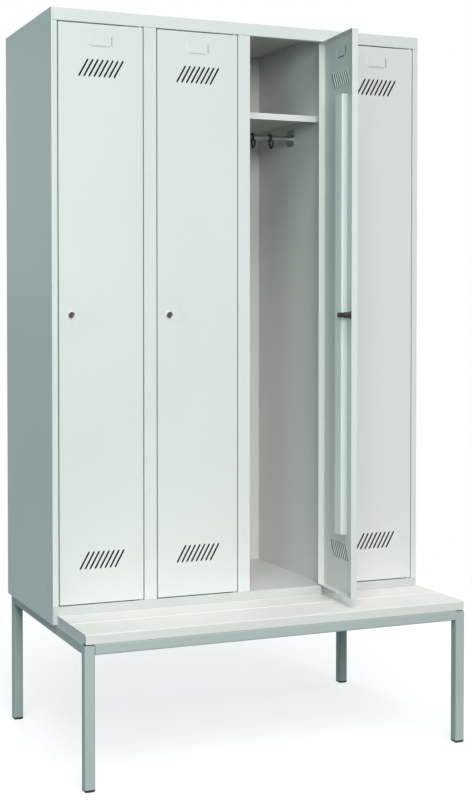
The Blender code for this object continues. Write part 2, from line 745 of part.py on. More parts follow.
def foot_mesh(x, y):
    """A plastic foot: a pad with rounded lower edges, and a hollow stem inside the tube."""
    bm = bmesh.new()
    bm.from_mesh(block((x, y, 0), (x + TUBE, y + TUBE, FOOT_RISE)))
    lower = [edge for edge in bm.edges if all(vert.co.z < FOOT_RISE / 2 for vert in edge.verts)]
    bmesh.ops.bevel(bm, geom=lower, offset=FOOT_ROUNDING, segments=FOLD_STEPS, affect="EDGES",
                    profile=1 / 2)
    inset = TUBE_WALL + FOOT_STEM_CLEARANCE
    stem = folded_box((x + inset, y + inset, FOOT_RISE / 2),
                      (x + TUBE - inset, y + TUBE - inset, FOOT_RISE + FOOT_STEM),
                      [(0, 0, 1), (0, 0, -1)], FOOT_STEM_WALL, TUBE_CORNER)
    return joined(to_mesh(bm), [stem])


def build_stand_rails():
    low, high = STAND_HEIGHT - TUBE, STAND_HEIGHT
    left, right = STAND_X, STAND_X + STAND_WIDTH
    inner_left, inner_right = left + TUBE + FIT, right - TUBE - FIT
    for name, y in (("front", BENCH_Y), ("middle", FRONT_Y - TUBE / 2), ("back", BACK_Y - TUBE)):
        rail = square_tube((inner_left, y, low), (inner_right, y + TUBE, high), (1, 0, 0))
        put(f"stand_rail_{name}", rail, "stand_paint")
    for name, x in (("left", left), ("right", right - TUBE)):
        rail = square_tube((x, BENCH_Y + TUBE + FIT, low),
                           (x + TUBE, BACK_Y - TUBE - FIT, high), (0, 1, 0))
        put(f"stand_rail_{name}", rail, "stand_paint")


def seat_line(drop, front, rear):
    """The seat's profile in Y and Z from rear to front, with its pressed bead."""
    top = STAND_HEIGHT + FIT + BENCH_RISE - drop
    bead = FRONT_Y - BEAD_FROM_CABINET
    return [(rear, top), (bead + BEAD_WIDTH / 2, top), (bead, top - BEAD_DEPTH),
            (bead - BEAD_WIDTH / 2, top), (front, top)]


def build_bench():
    """The seat: one sheet with a pressed bead along it, turned down on all four sides.

    The end skirts are free of the front one, which leaves a slit at each front corner.
    """
    low = STAND_HEIGHT + FIT
    front, rear = BENCH_Y, FRONT_Y - FIT
    left, right = STAND_X + BENCH_END_INSET, STAND_X + STAND_WIDTH - BENCH_END_INSET
    path = [(rear, low), *seat_line(0, front, rear), (front, low)]
    seat = finished(swept_surface(path, left, right, "X"),
                    fold_modifiers(BENCH_SHEET, BENCH_FOLD_RADIUS, SHARP_FOLD))
    seam = BENCH_SHEET * SEAM_DEPTH_SHARE
    skirt_front, skirt_rear = front + BENCH_SHEET + BENCH_CORNER_SLIT, rear - seam
    outline = [(skirt_rear, low), *seat_line(seam, skirt_front, skirt_rear), (skirt_front, low)]
    skirts = [flat_shape(outline, "X", x, x + BENCH_SHEET)
              for x in (left + FIT, right - FIT - BENCH_SHEET)]
    put("bench_top", joined(seat, skirts), "bench_paint")
    rib_front = front + BENCH_RIB_SETBACK
    rib_rear = rib_front + BENCH_RIB_WIDTH
    rib_top = low + BENCH_RISE - BENCH_SHEET - FIT
    rib = folded_sheet([(rib_rear, low), (rib_rear, rib_top), (rib_front, rib_top),
                        (rib_front, low)], left + BENCH_SHEET + 2 * FIT,
                       right - BENCH_SHEET - 2 * FIT, "X", BENCH_SHEET, BENCH_FOLD_RADIUS)
    put("bench_rib", rib, "stand_paint")


clear_scene()
PARTS = new_collection("locker_with_bench")
CUTTERS = new_collection("cutters")
build_side("side_panel_left", False)
build_side("side_panel_right", True)
build_roof_and_floor()
build_back()
build_partitions()
build_shelves()
build_clothes_rails()
build_hooks()
build_doors()
build_legs()
build_stand_rails()
build_bench()
for cutter in list(CUTTERS.objects):
    bpy.data.objects.remove(cutter, do_unlink=True)
bpy.context.view_layer.update()
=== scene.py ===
"""A four-door clothes locker on a stand with a bench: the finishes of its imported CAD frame, its
fine hardware, and a plain studio. It is laid out as an add-on, and is run as a script."""

import json
from math import pi, radians

import bpy
import numpy as np
from bpy.props import FloatProperty, FloatVectorProperty, PointerProperty
from bpy.types import Operator, Panel, PropertyGroup
from mathutils import Euler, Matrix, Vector


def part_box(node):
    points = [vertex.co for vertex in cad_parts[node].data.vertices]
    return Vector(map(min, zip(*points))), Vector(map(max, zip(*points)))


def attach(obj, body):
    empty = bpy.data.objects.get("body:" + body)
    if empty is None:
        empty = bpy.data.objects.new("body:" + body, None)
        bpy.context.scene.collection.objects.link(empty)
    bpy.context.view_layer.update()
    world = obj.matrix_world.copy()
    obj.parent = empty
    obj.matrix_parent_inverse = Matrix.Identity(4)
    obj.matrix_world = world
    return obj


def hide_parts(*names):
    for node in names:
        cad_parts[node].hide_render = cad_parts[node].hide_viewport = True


bl_info = {
    "name": "Locker with bench",
    "version": (1, 0, 0),
    "blender": (4, 5, 0),
    "location": "3D View > Sidebar > Locker",
    "description": "Finishes and fine hardware for a steel clothes locker with a bench",
    "category": "Object",
}

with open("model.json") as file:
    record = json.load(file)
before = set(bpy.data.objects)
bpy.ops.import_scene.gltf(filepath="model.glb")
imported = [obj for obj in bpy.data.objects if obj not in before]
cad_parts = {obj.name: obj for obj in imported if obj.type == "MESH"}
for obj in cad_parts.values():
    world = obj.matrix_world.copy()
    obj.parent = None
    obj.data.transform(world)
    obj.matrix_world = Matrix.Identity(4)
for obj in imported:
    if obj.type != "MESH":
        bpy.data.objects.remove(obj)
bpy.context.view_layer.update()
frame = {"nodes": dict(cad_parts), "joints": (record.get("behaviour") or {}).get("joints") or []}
NODES = frame["nodes"]
JOINTS = {joint["name"]: joint for joint in frame["joints"]}
DOORS = range(1, 5)
HOOKS = [f"{number}{letter}" for number in DOORS for letter in "ab"]
LEGS = ("front_left", "front_right", "back_left", "back_right")
TURNED_COLUMNS = 48
SLOT_COLUMNS = 32
THREAD_ROWS = 6  # Rows in one turn of a thread
SMOOTH_ANGLE = radians(35)

# Small lengths that several pieces share, in metres
SHEET = 0.001  # Thickness of the cabinet's sheet
SLACK = 0.0003  # Gap between the parts of a lock
SOFT = 0.0003  # Rounding of a thin edge
SUNK = 0.0002  # How far trim reaches into what carries it

# Lengths of the finishes' patterns and reliefs, in metres
PEEL_DEPTH = 0.000022  # Orange peel of the powder coat
WAVE_DEPTH = 0.0009  # Slow wave of the sheet under it
SCUFF_DEPTH = 0.00001
HANDLED_REACH = (0.02, 0.13)  # Where a rubbed patch starts to fade, and where it ends
SPOT_PITCH = 0.09  # From one spot weld of a row to the next
SPOT_REACH = (0.0012, 0.0042)  # Floor and rim of a spot weld's dimple
SPOT_DEPTH = 0.00025
FLANGE_MIDDLE = 0.008  # From the back panel's side edges to its outer rows of welds

# Reach of the slot and radius, as shares of a screw head's radius, and height as one of its rise
HEAD_SHARES = ((0.558, 0.08, -0.3), (0.62, 0.13, -0.3), (0.62, 0.14, -1.0),
               (0.248, 0.55, -0.98), (0.0, 0.82, -0.84), (0.0, 0.95, -0.55),
               (0.0, 1.0, -0.2), (0.0, 1.0, 0.0))

# The sides of each stand rail that are welded at its ends: 0 the lower one in X or Y, 1 the other
WELDED_SIDES = {"front": (1,), "middle": (0, 1), "back": (0,), "left": (1,), "right": (0,)}

# Place and side of each soft square lamp, and the point that all of them look at, in metres
LAMPS = {
    "key_light": ((-1.1, -5.0, 2.5), 1.5),
    "rear_light": ((0.0, 5.0, 2.2), 1.6),
    "left_light": ((-1.9, -2.6, 2.1), 1.2),
    "right_light": ((3.2, 0.7, 1.0), 1.2),
}
LAMP_TARGET = (0.0, 0.0, 1.05)
TOP_SPREAD = radians(40)  # How soft the light from above is
TOP_TURN = (radians(35), 0.0, radians(-10))
FLOOR_RINGS = (0.001, 1.0, 3.0, 9.0, 24.0)  # Radii of the floor's rings
FLOOR_FADE = (0.7, 3.2)  # Where the floor starts to turn white, and where it has
FLOOR_WHITE_SHARE = 0.72  # How white the floor is before that
CAMERA_SENSOR = 36.0  # Width of the camera's sensor in millimetres
CAMERA_REACH = 100.0  # How far the camera sees
WHITE = (1.0, 1.0, 1.0, 1.0)


def length(name, default, description):
    """A length in metres."""
    return FloatProperty(name=name, default=default, description=description, min=0.0,
                         unit="LENGTH", precision=5)


def rotation(name, degrees, description):
    return FloatProperty(name=name, default=radians(degrees), description=description,
                         subtype="ANGLE")


def amount(name, default, description):
    return FloatProperty(name=name, default=default, description=description)


def colour(name, default, description):
    return FloatVectorProperty(name=name, default=default, description=description,
                               subtype="COLOR", min=0.0, max=1.0)


class LockerColours(PropertyGroup):
    """The colours of the locker's paints, metals and plastics."""
    cabinet: colour("Cabinet", (0.713, 0.713, 0.690), "Pale grey paint of the cabinet")
    # Painted sheen: the stiffeners wear the cabinet's paint, made lighter here for the light their
    # flanks catch
    stiffener: colour("Stiffener", (0.790, 0.825, 0.790), "Lighter paint of the stiffeners")
    # Painted shade: the floor panel wears the cabinet's paint, made darker here to hold back the
    # light on the bottom rail
    floor_pan: colour("Floor panel", (0.580, 0.590, 0.570), "Darker paint of the floor panel")
    stand: colour("Stand", (0.440, 0.485, 0.463), "Grey-green paint of the stand")
    # Partly painted light: the seat's warm tint stands in for the warm light from above
    bench: colour("Bench", (0.735, 0.700, 0.668), "Pale warm paint of the seat")
    plastic: colour("Plastic", (0.016, 0.017, 0.018), "Black plastic of the hooks and feet")
    chrome: colour("Chrome", (0.640, 0.650, 0.655), "Plating of the lock bezels")
    zinc: colour("Zinc", (0.480, 0.520, 0.510), "Plating of the clothes rails")
    steel: colour("Dark steel", (0.090, 0.095, 0.100), "Lock barrels, plugs and cams")
    # Painted shade: this near-black stands in for the shadow in the air slots, the card holders'
    # slits and the seat's open seams
    edge: colour("Punched edge", (0.042, 0.058, 0.053), "Walls of the air slots, and dark slits")


class HardwareSizes(PropertyGroup):
    """The sizes of the pieces that stand for plainer CAD nodes."""
    bezel_radius: length("Bezel radius", 0.0115, "Outside of the ring round the lock")
    bezel_rise: length("Bezel rise", 0.0028, "How far the ring stands out of the door")
    barrel_radius: length("Barrel radius", 0.009, "Crest of the lock barrel's thread")
    barrel_length: length("Barrel length", 0.027, "From the door's face to the cam")
    barrel_flat: length("Barrel flat", 0.0081, "From the barrel's middle to its two flats")
    thread_pitch: length("Thread pitch", 0.001, "Rise of the barrel's thread in one turn")
    thread_depth: length("Thread depth", 0.0006, "Depth of the barrel's thread")
    nut_radius: length("Nut radius", 0.0135, "From the nut's middle to its corners")
    nut_length: length("Nut length", 0.005, "Thickness of the nut")
    nut_seat: length("Nut seat", 0.0013, "From the door's face to the nut")
    plug_radius: length("Plug radius", 0.006, "The plug inside the barrel")
    plug_head: length("Plug head", 0.0088, "The plug's face in the bezel")
    key_slot: length("Key slot", 0.008, "Length of the key slot")
    key_width: length("Key width", 0.0018, "Width of the key slot")
    key_depth: length("Key depth", 0.0055, "Depth of the key slot")
    key_slant: rotation("Key slant", -32, "How the key slot leans in a shut door")
    cam_length: length("Cam length", 0.048, "From the lock's axis to the cam's tip")
    cam_width: length("Cam width", 0.015, "Width of the cam")
    cam_sheet: length("Cam sheet", 0.003, "Thickness of the cam")
    cam_screw: length("Cam screw", 0.005, "Head of the screw that holds the cam")
    rail_radius: length("Rail radius", 0.009, "Outside of the clothes rail")
    rail_wall: length("Rail wall", 0.0015, "Thickness of the rail's tube")
    rail_drop: length("Rail drop", 0.026, "From the rail's middle to its plate's lower edge")
    plate_sheet: length("Plate sheet", 0.0015, "Thickness of the rail's end plates")
    plate_corner: length("Plate corner", 0.012, "Rounding of the plates' lower corners")
    screw_radius: length("Screw radius", 0.0034, "Heads of the screws in the end plates")
    screw_level: length("Screw level", 0.016, "From the rail's middle up to the screws")
    slot_pitch: length("Slot pitch", 0.0152, "From one air slot of a door to the next")
    slot_height: length("Slot height", 0.051, "Rise of a slot from end to end")
    slot_lean: length("Slot lean", 0.0285, "How far a slot leans from end to end")
    slot_width: length("Slot width", 0.0052, "Width of a slot")
    slots_away: length("Slots away", 0.7115, "From the lock up or down to a group of slots")
    lip_depth: length("Lip depth", 0.0017, "How far a slot's turned-in edge stands out")
    lip_foot: length("Lip foot", 0.0016, "How far the foot of that edge spreads on the sheet")
    # The slot's dark wall is painted shade
    slot_sleeve: length("Slot sleeve", 0.00012, "How far a slot's dark wall stands into it")
    eye_wall: length("Eye wall", 0.0035, "Thickness of a hook's eye round the rail")
    eye_width: length("Eye width", 0.009, "Width of a hook's eye along the rail")
    eye_play: length("Eye play", 0.0004, "Gap between a hook's eye and the rail")
    hook_wire: length("Hook wire", 0.0032, "Radius of a hook's round section")
    hook_ball: length("Hook ball", 0.0042, "Radius of the ball on a hook's tip")
    hook_stem: length("Hook stem", 0.010, "Straight part under a hook's eye")
    hook_bend: length("Hook bend", 0.0125, "Radius of a hook's bend")
    hook_rise: length("Hook rise", 0.012, "Straight part before a hook's tip")
    foot_rise: length("Foot rise", 0.008, "How far a foot stands out of its leg")
    foot_rounding: length("Foot rounding", 0.0055, "Rounding of a foot's lower edges")
    foot_corner: length("Foot corner", 0.003, "Rounding of a foot's upright edges")
    stem_inset: length("Stem inset", 0.0028, "From a foot's side to that of its stem")
    stem_length: length("Stem length", 0.018, "How far a foot's stem goes into the leg")
    seam_width: length("Seam width", 0.0035, "Open seam at a corner of the seat")
    seam_place: length("Seam place", 0.0045, "From the seat's front to the middle of a seam")
    card_width: length("Card width", 0.075, "Outer width of a card holder")
    card_height: length("Card height", 0.027, "Height of a card holder's side tabs")
    card_tab: length("Card tab", 0.005, "Width of a card holder's tabs")
    card_level: length("Card level", 0.791, "From a lock up to the middle of the side tabs")
    weld_radius: length("Weld radius", 0.0016, "Thickness of a weld bead on the stand")
    weld_step: length("Weld step", 0.0022, "From one ripple of a weld bead to the next")


class StudioValues(PropertyGroup):
    """The camera and the light."""
    eye: FloatVectorProperty(name="Camera", default=(-1.733, -4.072, 1.3029),
                             subtype="TRANSLATION", description="Where the camera stands")
    turn: rotation("Turn", -22.838, "The camera's heading from straight ahead")
    tilt: rotation("Tilt", -1.573, "The camera's tilt from level")
    lens: amount("Lens", 64.14, "Focal length in millimetres")
    shift: FloatVectorProperty(name="Shift", size=2, default=(0.01455, -0.0594),
                               description="Framing of the photograph")
    key: amount("Key", 108.0, "Power of the front light in watts")
    key_tint: colour("Key tint", (1.0, 0.955, 0.935), "Colour of the front and top lights")
    left: amount("Left", 18.5, "Power of the left light in watts")
    left_tint: colour("Left tint", (0.60, 1.0, 0.93), "Colour of the left light")
    right: amount("Right", 38.0, "Power of the right light in watts")
    rear: amount("Rear", 170.0, "Power of the rear light in watts")
    top: amount("Top", 2.3, "Strength of the light from above")
    sky: colour("Sky", (0.038, 0.145, 0.195), "Even light from all round")
    floor: colour("Floor", (0.14, 0.20, 0.195), "What the floor throws back at the locker")


class Value:
    """A socket of a shader tree, on which Python's operators add Math nodes."""

    def __init__(self, tree, socket):
        self.tree = tree
        self.socket = socket

    def __add__(self, other):
        return self.tree.math("ADD", self, other)

    def __sub__(self, other):
        return self.tree.math("SUBTRACT", self, other)

    def __rsub__(self, other):
        return self.tree.math("SUBTRACT", other, self)

    def __mul__(self, other):
        return self.tree.math("MULTIPLY", self, other)

    def __truediv__(self, other):
        return self.tree.math("DIVIDE", self, other)

    def __rtruediv__(self, other):
        return self.tree.math("DIVIDE", other, self)

    __radd__ = __add__
    __rmul__ = __mul__


class Tree:
    """A shader tree that is filled by add, and by the short names of the nodes used most."""

    def __init__(self, owner):
        self.owner = owner
        owner.use_nodes = True
        self.tree = owner.node_tree
        self.tree.nodes.clear()

    def add(self, kind, settings=None, sockets=None, out=0):
        """Adds a node: first its settings, then the values or links of its sockets."""
        node = self.tree.nodes.new(kind)
        for name, value in (settings or {}).items():
            setattr(node, name, value)
        for name, value in (sockets or {}).items():
            if isinstance(value, Value):
                self.tree.links.new(value.socket, node.inputs[name])
            else:
                node.inputs[name].default_value = value
        return Value(self, node.outputs[out]) if node.outputs else None

    def math(self, operation, *values):
        return self.add("ShaderNodeMath", {"operation": operation}, dict(enumerate(values)))

    def place(self):
        """The point that is shaded, in metres."""
        return self.add("ShaderNodeTexCoord", out="Object")

    def parts(self, vector):
        """The X, Y and Z of a vector."""
        split = self.add("ShaderNodeSeparateXYZ", sockets={0: vector})
        return [Value(self, socket) for socket in split.socket.node.outputs]

    def noise(self, vector, scale, detail=2.0, roughness=0.5):
        """Noise about 0.5, whose scale is in cells per metre."""
        return self.add("ShaderNodeTexNoise", {"noise_dimensions": "3D"},
                        {"Vector": vector, "Scale": scale, "Detail": detail,
                         "Roughness": roughness})

    def stretched(self, vector, scale):
        """A vector times a scale for each axis."""
        return self.add("ShaderNodeMapping", sockets={"Vector": vector, "Scale": scale})

    def between(self, value, low, high):
        """0 up to low, 1 from high on, and a smooth step between them."""
        return self.add("ShaderNodeMapRange", {"interpolation_type": "SMOOTHSTEP"},
                        {"Value": value, "From Min": low, "From Max": high})

    def mix(self, factor, first, second):
        """The first colour where the factor is 0, and the second where it is 1."""
        return self.add("ShaderNodeMix", {"data_type": "RGBA"},
                        {0: factor, 6: (*first, 1) if isinstance(first, tuple) else first,
                         7: (*second, 1) if isinstance(second, tuple) else second}, out=2)

    def bump(self, height):
        """A Bump node for a height in metres."""
        return self.add("ShaderNodeBump", sockets={"Height": height, "Distance": 1.0,
                                                   "Strength": 1.0})

    def finish(self, sockets):
        """Ends the tree in a Principled shader with these sockets, and gives its material."""
        shader = self.add("ShaderNodeBsdfPrincipled", sockets=sockets)
        self.add("ShaderNodeOutputMaterial", sockets={"Surface": shader})
        return self.owner


def shades(base, spread):
    """A colour made darker and lighter by a share of itself."""
    return tuple(tuple(min(1.0, part * factor) for part in base)
                 for factor in (1 - spread, 1 + spread))


def powder_coat(name, base, gloss, welds=None, scuffs=0.0, handled=None):
    """Powder coat on thin sheet: drifts of tone, pigment flecks, orange peel and a faint wave of
    the sheet. It may show rows of spot welds at each X of welds, with painted shade in their
    dimples, scuffs of use, and a rubbed patch round the point handled."""
    tree = Tree(bpy.data.materials.new(name))
    place = tree.place()
    drift = tree.noise(place, scale=2.3)
    flecks = tree.noise(place, scale=1500.0, detail=1.0)
    peel = tree.noise(place, scale=380.0, roughness=0.45)
    wave = tree.noise(place, scale=5.0, detail=1.0)
    dark, light = shades(base, 0.035)
    tint = tree.mix(drift * 0.7 + flecks * 0.3, dark, light)
    roughness = gloss + (drift - 0.5) * 0.10 + (peel - 0.5) * 0.06
    height = peel * PEEL_DEPTH + wave * WAVE_DEPTH
    if scuffs:
        streaks = tree.stretched(place, (3.0, 190.0, 90.0))
        lines = tree.noise(streaks, scale=2.0, detail=3.0, roughness=0.6)
        rubbed = tree.between(lines, 0.60, 0.74) * scuffs
        tint = tree.mix(rubbed * 0.5, tint, shades(base, 0.12)[0])
        roughness = roughness + rubbed * 0.14
        height = height - rubbed * SCUFF_DEPTH
    if handled:
        away = tree.add("ShaderNodeVectorMath", {"operation": "DISTANCE"},
                        {0: place, 1: handled}, out="Value")
        patches = tree.noise(place, scale=26.0, detail=3.0, roughness=0.6)
        rubbed = (1 - tree.between(away, *HANDLED_REACH)) * tree.between(patches, 0.42, 0.62)
        tint = tree.mix(rubbed * 0.35, tint, shades(base, 0.07)[0])
        roughness = roughness - rubbed * 0.10
    if welds:
        x, _, z = tree.parts(place)
        aside = [tree.math("ABSOLUTE", x - line) for line in welds]
        nearest = aside[0]
        for other in aside[1:]:
            nearest = tree.math("MINIMUM", nearest, other)
        step = tree.math("FRACT", z / SPOT_PITCH)
        along = tree.math("ABSOLUTE", step - 0.5) * SPOT_PITCH
        away = tree.math("SQRT", nearest * nearest + along * along)
        dimple = 1 - tree.between(away, *SPOT_REACH)
        height = height - dimple * SPOT_DEPTH
        # Painted shade: the tint is darker in each dimple
        tint = tree.mix(dimple * 0.3, tint, shades(base, 0.12)[0])
    return tree.finish({"Base Color": tint, "Roughness": roughness, "Specular IOR Level": 0.12,
                        "Normal": tree.bump(height)})


def moulded_plastic(name, base):
    """Black plastic with the fine grain of its mould and a little bloom on it."""
    tree = Tree(bpy.data.materials.new(name))
    place = tree.place()
    grain = tree.noise(place, scale=2600.0)
    bloom = tree.noise(place, scale=60.0)
    return tree.finish({"Base Color": tree.mix(bloom, *shades(base, 0.35)),
                        "Roughness": 0.42 + bloom * 0.14, "Normal": tree.bump(grain * 0.00002)})


def turned_metal(name, base, gloss, marks):
    """Metal from a lathe: fine rings, marks deep, across the way the surface runs, and a cloudy
    gloss."""
    tree = Tree(bpy.data.materials.new(name))
    along = tree.add("ShaderNodeAttribute", {"attribute_name": "along"}, out="Fac")
    rings = tree.add("ShaderNodeTexNoise", {"noise_dimensions": "1D"},
                     {"W": along, "Scale": 5200.0, "Detail": 1.0})
    cloud = tree.noise(tree.place(), scale=240.0)
    return tree.finish({"Base Color": tree.mix(cloud, *shades(base, 0.10)), "Metallic": 1.0,
                        "Roughness": gloss + (cloud - 0.5) * 0.10 + (rings - 0.5) * 0.10,
                        "Normal": tree.bump(rings * marks)})


def plated_tube(name, base):
    """Zinc plate on drawn tube: draw lines along X, and darker and lighter patches."""
    tree = Tree(bpy.data.materials.new(name))
    place = tree.place()
    lines = tree.noise(tree.stretched(place, (6.0, 900.0, 900.0)), scale=1.0)
    patches = tree.noise(place, scale=45.0)
    return tree.finish({"Base Color": tree.mix(patches * 0.6 + lines * 0.4, *shades(base, 0.16)),
                        "Metallic": 1.0, "Roughness": 0.26 + patches * 0.12 + lines * 0.08,
                        "Normal": tree.bump(lines * 0.000012)})


def linked(name, data):
    """A new object in the scene, at the origin."""
    obj = bpy.data.objects.new(name, data)
    bpy.context.scene.collection.objects.link(obj)
    return obj


def skin(loops, ring=False):
    """A closed surface through equal loops of points, an array of rows by columns by 3.

    Quads join (r, c), (r, c + 1), (r + 1, c + 1), (r + 1, c). With ring the last loop meets the
    first, and otherwise a fan to the middle of each end loop closes it. The sum of a . (b x c) over
    the triangles, six times the volume, is below zero where the faces have to be turned round.
    """
    rows, columns = loops.shape[:2]
    points = loops.reshape(-1, 3)
    index = np.arange(rows * columns).reshape(rows, columns)
    below = index if ring else index[:-1]
    above = np.roll(index, -1, 0) if ring else index[1:]
    quads = np.stack([below, np.roll(below, -1, 1), np.roll(above, -1, 1), above], -1)
    quads = quads.reshape(-1, 4)
    steps = np.linalg.norm(np.diff(loops, axis=0), axis=2).mean(1)
    along = np.repeat(np.append(0, np.cumsum(steps)), columns)
    fans = np.zeros((0, 3), int)
    if not ring:
        count = len(points)
        points = np.concatenate([points, loops[[0, -1]].mean(1)])
        along = np.append(along, [along[0], along[-1]])
        first, last = index[0], index[-1]
        fans = np.concatenate([
            np.stack([np.roll(first, -1), first, np.full(columns, count)], -1),
            np.stack([last, np.roll(last, -1), np.full(columns, count + 1)], -1)])
    triangles = np.concatenate([quads[:, :3], quads[:, [0, 2, 3]], fans])
    a, b, c = points[triangles].transpose(1, 0, 2)
    if (a * np.cross(b, c)).sum() < 0:
        quads, fans = quads[:, ::-1], fans[:, ::-1]
    return points, quads, fans, along


def piece(name, skins, body, finish, replaced=()):
    """One object made of skins, in one of the finishes, which rides on a body. Its place is in
    its mesh."""
    starts = np.append(0, np.cumsum([len(points) for points, _, _, _ in skins]))
    faces = []
    for start, (_, quads, fans, _) in zip(starts, skins):
        faces += (quads + start).tolist() + (fans + start).tolist()
    mesh = bpy.data.meshes.new(name)
    mesh.from_pydata(np.concatenate([points for points, _, _, _ in skins]).tolist(), [], faces)
    along = mesh.attributes.new("along", "FLOAT", "POINT")
    along.data.foreach_set("value", np.concatenate([share for _, _, _, share in skins]))
    mesh.polygons.foreach_set("use_smooth", np.ones(len(faces), bool))
    mesh.set_sharp_from_angle(angle=SMOOTH_ANGLE)
    mesh.materials.append(bpy.data.materials[finish])
    obj = linked(name, mesh)
    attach(obj, body)
    if replaced:
        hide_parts(*replaced)
    return obj


def softened(corners, reach, steps=5, most_share=0.45):
    """A closed outline with rounded corners: the corner c becomes (1-t)^2 p + 2t(1-t) c + t^2 q,
    where p and q lie reach away from c towards the corners before and after it, or most_share
    of the way where that is less."""
    corners = np.asarray(corners, float)
    reach = np.broadcast_to(reach, len(corners))[:, None]
    ends = []
    for shift in (1, -1):
        way = np.roll(corners, shift, 0) - corners
        size = np.linalg.norm(way, axis=1, keepdims=True)
        ends.append(corners + way / size * np.minimum(reach, size * most_share))
    t = np.linspace(0, 1, steps)[None, :, None]
    curve = ((1 - t) ** 2 * ends[0][:, None] + 2 * t * (1 - t) * corners[:, None]
             + t ** 2 * ends[1][:, None])
    return curve.reshape(-1, corners.shape[1])


def around(columns, start=0.0):
    """Equal steps about a circle: the angles 2 pi (column + start) / columns."""
    return (np.arange(columns) + start) * (2 * pi / columns)


def about(radius, height, columns=TURNED_COLUMNS):
    """Loops about Y: (radius cos a, height, radius sin a), for a radius of rows, or of rows by
    columns, and a height of rows."""
    angle = around(columns)
    radius = np.asarray(radius, float)
    radius = radius[:, None] if radius.ndim == 1 else radius
    height = np.asarray(height, float)[:, None]
    return np.stack([radius * np.cos(angle), height + 0 * angle, radius * np.sin(angle)], -1)


def slot_loops(rows, turn=0.0, columns=TURNED_COLUMNS):
    """Loops about Y that go from slots to circles. For a row of reach e, radius r and height h a
    point is (r cos a, h, r sin a + e sign(sin a)), turned about Y."""
    reach, radius, height = np.asarray(rows, float).T[:, :, None]
    angle = around(columns, 0.5)
    x = radius * np.cos(angle)
    z = radius * np.sin(angle) + reach * np.sign(np.sin(angle))
    return np.stack([x * np.cos(turn) - z * np.sin(turn), height + 0 * angle,
                     x * np.sin(turn) + z * np.cos(turn)], -1)


def placed(loops, origin, axis):
    """Loops about Y moved so that Y runs along the axis: origin + x (axis x Z) + y axis + z Z."""
    axis = np.asarray(axis, float)
    up = np.array([0.0, 0.0, 1.0])
    return np.asarray(origin, float) + loops @ np.array([np.cross(axis, up), axis, up])


def seated(place, *shapes, ring=False):
    """Skins of shapes about Y, moved to a place, which is an origin and an axis."""
    return [skin(placed(loops, *place), ring) for loops in shapes]


def carried(path, radius, across, columns=16):
    """A circle carried along a path in a plane: p + r (cos a n + sin a (t x n)), where n is the
    plane's normal, across, and t the path's direction at p."""
    way = np.gradient(path, axis=0)
    way = way / np.linalg.norm(way, axis=1, keepdims=True)
    across = np.asarray(across, float)
    other = np.cross(way, across)
    angle = around(columns)
    radius = np.asarray(radius, float)[:, None, None]
    return (path[:, None] + radius * (np.cos(angle)[None, :, None] * across
                                      + np.sin(angle)[None, :, None] * other[:, None]))


def slotted_head(radius, rise):
    """A domed screw head about Y with a slot: loops by HEAD_SHARES, with its face at -rise."""
    return slot_loops(np.array(HEAD_SHARES) * (radius, radius, rise), columns=24)


def round_slot(sizes, flare, height):
    """Loops round the outline of an air slot, which leans by atan(lean / height): each is wider
    than the slot by its flare all round, at its own height behind the door's face."""
    radius = sizes.slot_width / 2
    reach = np.hypot(sizes.slot_lean, sizes.slot_height) / 2 - radius
    rows = [(reach, radius + wider, level) for wider, level in zip(flare, height)]
    return slot_loops(rows, -np.arctan2(sizes.slot_lean, sizes.slot_height), SLOT_COLUMNS)


def slot_lip(sizes):
    """The turned-in edge of an air slot: a section carried round the slot's outline, flush with
    it inside and flared where it meets the sheet."""
    top = SHEET + sizes.lip_depth
    flare = sizes.lip_foot * np.array([0, 0, 2, 4, 7, 9, 14, 16]) / 16
    height = [SHEET - SUNK, top - SOFT, top, top, top - SOFT, SHEET + SUNK, SHEET + SUNK / 4,
              SHEET - SUNK]
    return round_slot(sizes, flare, height)


def slot_shade_sleeve(sizes):
    """The punched wall of an air slot, a thin sleeve inside its turned-in edge, dark as painted
    shade for the shadow seen through the slot.
    """
    top, inwards = SHEET + sizes.lip_depth, -sizes.slot_sleeve
    return round_slot(sizes, [inwards, inwards, SUNK, SUNK],
                      [SUNK, top - SUNK, top - SUNK / 2, SUNK])


def slim_bar(middle, half):
    """A slim bar with softened edges: a sphere's point becomes middle + half times the fourth
    root of each coordinate, with its sign."""
    rise = np.linspace(-1.5, 1.5, 9)[:, None]
    turn = around(24)
    ball = np.stack([np.cos(rise) * np.cos(turn), np.cos(rise) * np.sin(turn),
                     np.sin(rise) + 0 * turn], -1)
    return np.array(middle) + np.array(half) * np.sign(ball) * np.abs(ball) ** 0.25


def lock_bezel(sizes):
    """The chrome ring: a section of six softened corners, turned about the lock's axis."""
    front, outer, inner = -sizes.bezel_rise, sizes.bezel_radius, sizes.plug_head + SLACK
    bevel, slope, back, rounding = 0.0006, 0.0014, -0.0001, 0.0004
    section = softened([(inner, front + bevel), (inner + bevel, front),
                        (outer - 2 * bevel, front), (outer, front + slope), (outer, back),
                        (inner, back)], rounding)
    return about(section[:, 0], section[:, 1])


def lock_barrel(sizes):
    """The threaded barrel: r = crest - depth |2 fract(y / pitch - a / 2 pi) - 1|, and no more than
    flat / |cos a|, where the cosine is kept off 0, with its bore inside."""
    rows = int((sizes.barrel_length + SLACK) / sizes.thread_pitch * THREAD_ROWS)
    height = np.linspace(-SLACK, sizes.barrel_length, rows)
    angle = around(TURNED_COLUMNS)
    turns = height[:, None] / sizes.thread_pitch - angle / (2 * pi)
    groove = np.abs(2 * (turns - np.floor(turns)) - 1)
    flat = sizes.barrel_flat / np.maximum(np.abs(np.cos(angle)), 0.01)
    outside = np.minimum(sizes.barrel_radius - sizes.thread_depth * groove, flat)
    bore = np.full((2, TURNED_COLUMNS), sizes.plug_radius + SLACK)
    return about(np.concatenate([outside, bore]), np.append(height, [height[-1], height[0]]))


